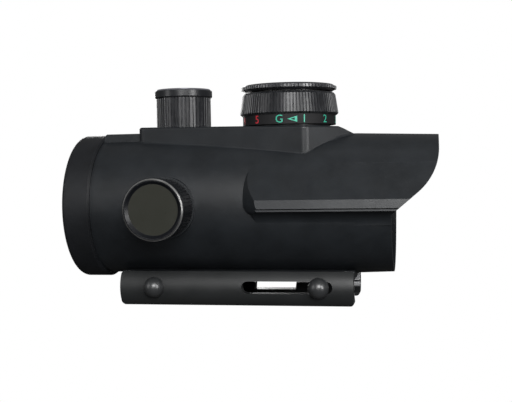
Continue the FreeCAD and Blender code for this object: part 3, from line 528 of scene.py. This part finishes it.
def cut_fine(mesh, step):
    """Adds vertical cuts so that a flat mark can follow the round band."""
    made = bmesh.new()
    made.from_mesh(mesh)
    xs = [vert.co.x for vert in made.verts]
    place = math.floor(min(xs) / step) * step
    while place < max(xs):
        everything = made.verts[:] + made.edges[:] + made.faces[:]
        bmesh.ops.bisect_plane(made, geom=everything, plane_co=(place, 0, 0), plane_no=(1, 0, 0))
        place += step
    made.to_mesh(mesh)
    made.free()


def wrap_mark(mesh, degrees):
    """Bends a flat mark onto the numbered band, centred at an angle from +X."""
    cut_fine(mesh, 0.25 * MM)
    reach = BAND_RADIUS + MARK_LIFT
    for vert in mesh.vertices:
        angle = math.radians(degrees) + vert.co.x / BAND_RADIUS
        rise = BAND_MIDDLE + vert.co.y
        x = DIAL_AXIS.x + reach * math.cos(angle)
        y = DIAL_AXIS.y + reach * math.sin(angle)
        vert.co = (x, y, rise)


def thicken(mesh, depth):
    """Gives a wrapped mark a little body towards the dial axis."""
    made = bmesh.new()
    made.from_mesh(mesh)
    faces = made.faces[:]
    grown = bmesh.ops.extrude_face_region(made, geom=faces)
    for vert in (item for item in grown["geom"] if isinstance(item, bmesh.types.BMVert)):
        outward = Vector((vert.co.x - DIAL_AXIS.x, vert.co.y - DIAL_AXIS.y, 0)).normalized()
        vert.co -= outward * depth
    bmesh.ops.recalc_face_normals(made, faces=made.faces[:])
    made.to_mesh(mesh)
    made.free()


def add_mark(name, mesh, degrees, material):
    wrap_mark(mesh, degrees)
    thicken(mesh, MARK_LIFT * 2)
    mesh.materials.clear()
    mesh.materials.append(material)
    piece = bpy.data.objects.new(name, mesh)
    bpy.context.collection.objects.link(piece)
    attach(piece, "dial")


def dial_marks():
    red = enamel("red_enamel", rgb(0.50, 0.016, 0.030), rgb(0.20, 0.010, 0.015))
    green = enamel("green_enamel", rgb(0.030, 0.36, 0.24), rgb(0.018, 0.17, 0.12))
    for side, (labels, paint) in enumerate(((GREEN_MARKS, green), (RED_MARKS, red))):
        start = side * len(GREEN_MARKS)
        for step, label in enumerate(labels):
            degrees = FIRST_MARK + (start + step) * MARK_STEP
            name = "dial_mark_%02d" % (start + step)
            add_mark(name, text_mesh(name, label, MARK_HEIGHT), degrees, paint)
        name = "dial_pointer_%d" % side
        degrees = FIRST_MARK + start * MARK_STEP + POINTER_STEP
        add_mark(name, triangle_mesh(name, MARK_HEIGHT * 0.75), degrees, paint)


# ---- Stage, light and camera -------------------------------------------------------------------
def floor_paper():
    """White paper seen by the lens, grey to the light that bounces up under the object."""
    material = bpy.data.materials.new("pale_paper")
    material.use_nodes = True
    nodes = material.node_tree.nodes
    links = material.node_tree.links
    nodes.clear()
    output = nodes.new("ShaderNodeOutputMaterial")
    seen = nodes.new("ShaderNodeEmission")
    seen.inputs["Color"].default_value = rgb(1.0, 1.0, 1.0)
    bounce = nodes.new("ShaderNodeBsdfDiffuse")
    bounce.inputs["Color"].default_value = rgb(FLOOR_BOUNCE, FLOOR_BOUNCE, FLOOR_BOUNCE)
    path = nodes.new("ShaderNodeLightPath")
    mix = nodes.new("ShaderNodeMixShader")
    links.new(path.outputs["Is Camera Ray"], mix.inputs["Fac"])
    links.new(bounce.outputs[0], mix.inputs[1])
    links.new(seen.outputs[0], mix.inputs[2])
    links.new(mix.outputs[0], output.inputs["Surface"])
    return material


def stage():
    """Pale floor right under the object."""
    made = bmesh.new()
    half = 3.0
    corners = [(-half, -half), (half, -half), (half, half), (-half, half)]
    made.faces.new([made.verts.new((x, y, FLOOR_Z)) for x, y in corners])
    mesh = bpy.data.meshes.new("pale_floor")
    made.to_mesh(mesh)
    made.free()
    floor = bpy.data.objects.new("pale_floor", mesh)
    floor.data.materials.append(floor_paper())
    bpy.context.collection.objects.link(floor)


def area_light(name, place, width, height, power):
    data = bpy.data.lights.new(name, "AREA")
    data.energy = power
    data.shape = "RECTANGLE"
    data.size = width
    data.size_y = height
    lamp = bpy.data.objects.new(name, data)
    lamp.location = place
    lamp.rotation_mode = "QUATERNION"
    lamp.rotation_quaternion = (Vector(LIT_PLACE) - Vector(place)).to_track_quat("-Z", "Y")
    bpy.context.collection.objects.link(lamp)


def white_surroundings():
    """White to the lens, a weak fill to everything else."""
    world = bpy.data.worlds.new("studio_world")
    world.use_nodes = True
    nodes = world.node_tree.nodes
    links = world.node_tree.links
    background = nodes["Background"]
    path = nodes.new("ShaderNodeLightPath")
    fill = nodes.new("ShaderNodeMapRange")
    fill.inputs["To Min"].default_value = WORLD_FILL
    fill.inputs["To Max"].default_value = 1.0
    links.new(path.outputs["Is Camera Ray"], fill.inputs["Value"])
    background.inputs["Color"].default_value = rgb(1.0, 1.0, 1.0)
    links.new(fill.outputs["Result"], background.inputs["Strength"])
    bpy.context.scene.world = world


def camera():
    data = bpy.data.cameras.new("view_camera")
    data.lens = CAMERA_LENS
    data.sensor_width = 36.0
    data.clip_start = 0.005
    data.clip_end = 20.0
    piece = bpy.data.objects.new("view_camera", data)
    forward = Vector((-math.sin(CAMERA_YAW) * math.cos(CAMERA_PITCH),
                      math.cos(CAMERA_YAW) * math.cos(CAMERA_PITCH), -math.sin(CAMERA_PITCH)))
    level = Vector((math.cos(CAMERA_YAW), math.sin(CAMERA_YAW), 0))
    upward = level.cross(forward)
    right = level * math.cos(CAMERA_ROLL) + upward * math.sin(CAMERA_ROLL)
    above = upward * math.cos(CAMERA_ROLL) - level * math.sin(CAMERA_ROLL)
    turn = Matrix((right, above, -forward)).transposed()
    piece.matrix_world = Matrix.Translation(CAMERA_AT) @ turn.to_4x4()
    bpy.context.collection.objects.link(piece)
    bpy.context.scene.camera = piece


assign_materials()
dial_marks()
stage()
for light in LIGHTS:
    area_light(*light)
white_surroundings()
camera()
bpy.context.scene.view_settings.view_transform = "Standard"
